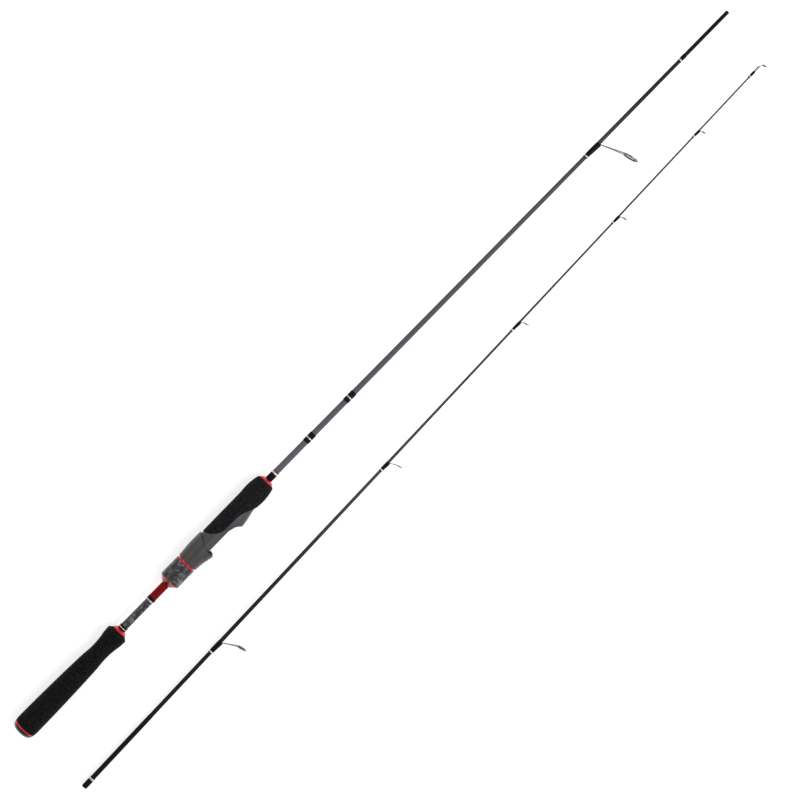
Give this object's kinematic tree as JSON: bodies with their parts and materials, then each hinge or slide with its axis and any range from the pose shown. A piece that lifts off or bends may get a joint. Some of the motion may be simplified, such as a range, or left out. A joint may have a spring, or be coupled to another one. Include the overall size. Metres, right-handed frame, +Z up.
{
  "type": "fishing rod",
  "caption": "Spinning rod taken apart, sections side by side, with foam grips, a screw-locking reel seat, ringed line guides and a push-together ferrule.",
  "frame": {"origin": "centre of the footprint of both sections, on the surface that they lie on", "axes": "+X along the butt section towards its ferrule, -Y the side that the guides and the reel are on, +Z up"},
  "size_m": [1.09, 0.1268, 0.0269],
  "materials": {
    "cap_plastic": "gloss black moulded plastic",
    "red_ring": "red anodised, satin",
    "grip_foam": "fine closed-cell EVA foam, matt black",
    "woven_sleeve": "marbled woven carbon under clear gloss",
    "black_wrap": "black thread under clear varnish",
    "red_wrap": "dark red thread under clear varnish",
    "butt_graphite": "grey graphite blank, satin clear coat",
    "tip_graphite": "grey graphite blank, darker at its rear",
    "seat_resin": "dark grey nylon, fine texture",
    "hood_resin": "dark grey soft coating",
    "hood_liner": "soft black liner",
    "arbor_foam": "light bonding arbor",
    "snap_ring": "spring steel",
    "metal_thread": "metallic pink-silver thread under varnish",
    "guide_steel": "polished dark steel",
    "guide_ceramic": "dark polished ceramic"
  },
  "bodies": {
    "butt_section": {"butt_cap": "cap_plastic", "butt_cap_ring": "red_ring", "rear_grip": "grip_foam", "rear_grip_check": "red_ring", "handle_sleeve": "woven_sleeve", "rear_collar": "black_wrap", "front_collar": "black_wrap", "seat_tail_wrap": "red_wrap", "butt_blank": "butt_graphite", "reel_seat_body": "seat_resin", "seat_arbors": "arbor_foam", "fixed_hood_liner": "hood_liner", "fore_grip": "grip_foam", "fore_grip_check": "red_ring", "fore_grip_wrap": "black_wrap", "lower_trim_wrap": "black_wrap", "upper_trim_wrap": "black_wrap", "ferrule_wrap": "black_wrap", "butt_trim_bands": "metal_thread", "stripper_guide_frame": "guide_steel", "stripper_guide_ring": "guide_ceramic", "stripper_guide_wrap": "black_wrap"},
    "moving_hood": {"moving_hood": "hood_resin", "moving_hood_liner": "hood_liner", "hood_snap_ring": "snap_ring"},
    "lock_nut": {"lock_nut_core": "seat_resin", "lock_nut_sleeve": "woven_sleeve", "lock_nut_front_ring": "red_ring", "lock_nut_end_ring": "red_ring", "lock_nut_tail": "cap_plastic"},
    "tip_section": {"tip_blank": "tip_graphite", "ferrule_socket_wrap": "black_wrap", "guide_1_frame": "guide_steel", "guide_1_ring": "guide_ceramic", "guide_1_wrap": "black_wrap", "guide_2_frame": "guide_steel", "guide_2_ring": "guide_ceramic", "guide_2_wrap": "black_wrap", "guide_3_frame": "guide_steel", "guide_3_ring": "guide_ceramic", "guide_3_wrap": "black_wrap", "guide_4_frame": "guide_steel", "guide_4_ring": "guide_ceramic", "guide_4_wrap": "black_wrap", "guide_5_frame": "guide_steel", "guide_5_ring": "guide_ceramic", "guide_5_wrap": "black_wrap", "tip_top_frame": "guide_steel", "tip_top_ring": "guide_ceramic", "tip_top_wrap": "black_wrap", "tip_trim_bands": "metal_thread"}
  },
  "joints": [
    {"name": "hood_slide", "type": "slide", "parent": "butt_section", "child": "moving_hood", "axis": [1, 0, 0], "range_m": [-0.009, 0.0015]},
    {"name": "nut_spin", "type": "hinge", "parent": "moving_hood", "child": "lock_nut", "pos_m": [-0.305, 0.04995, 0.01345], "axis": [1, 0, 0], "range_deg": [-1620, 270]},
    {"name": "tip_section_lift", "type": "slide", "parent": "butt_section", "child": "tip_section", "axis": [0, 0, 1], "range_m": [0, 0.2]}
  ],
  "couplings": [
    {"joint": "hood_slide", "follows": "nut_spin", "m_per_rad": 0.00031831}
  ]
}
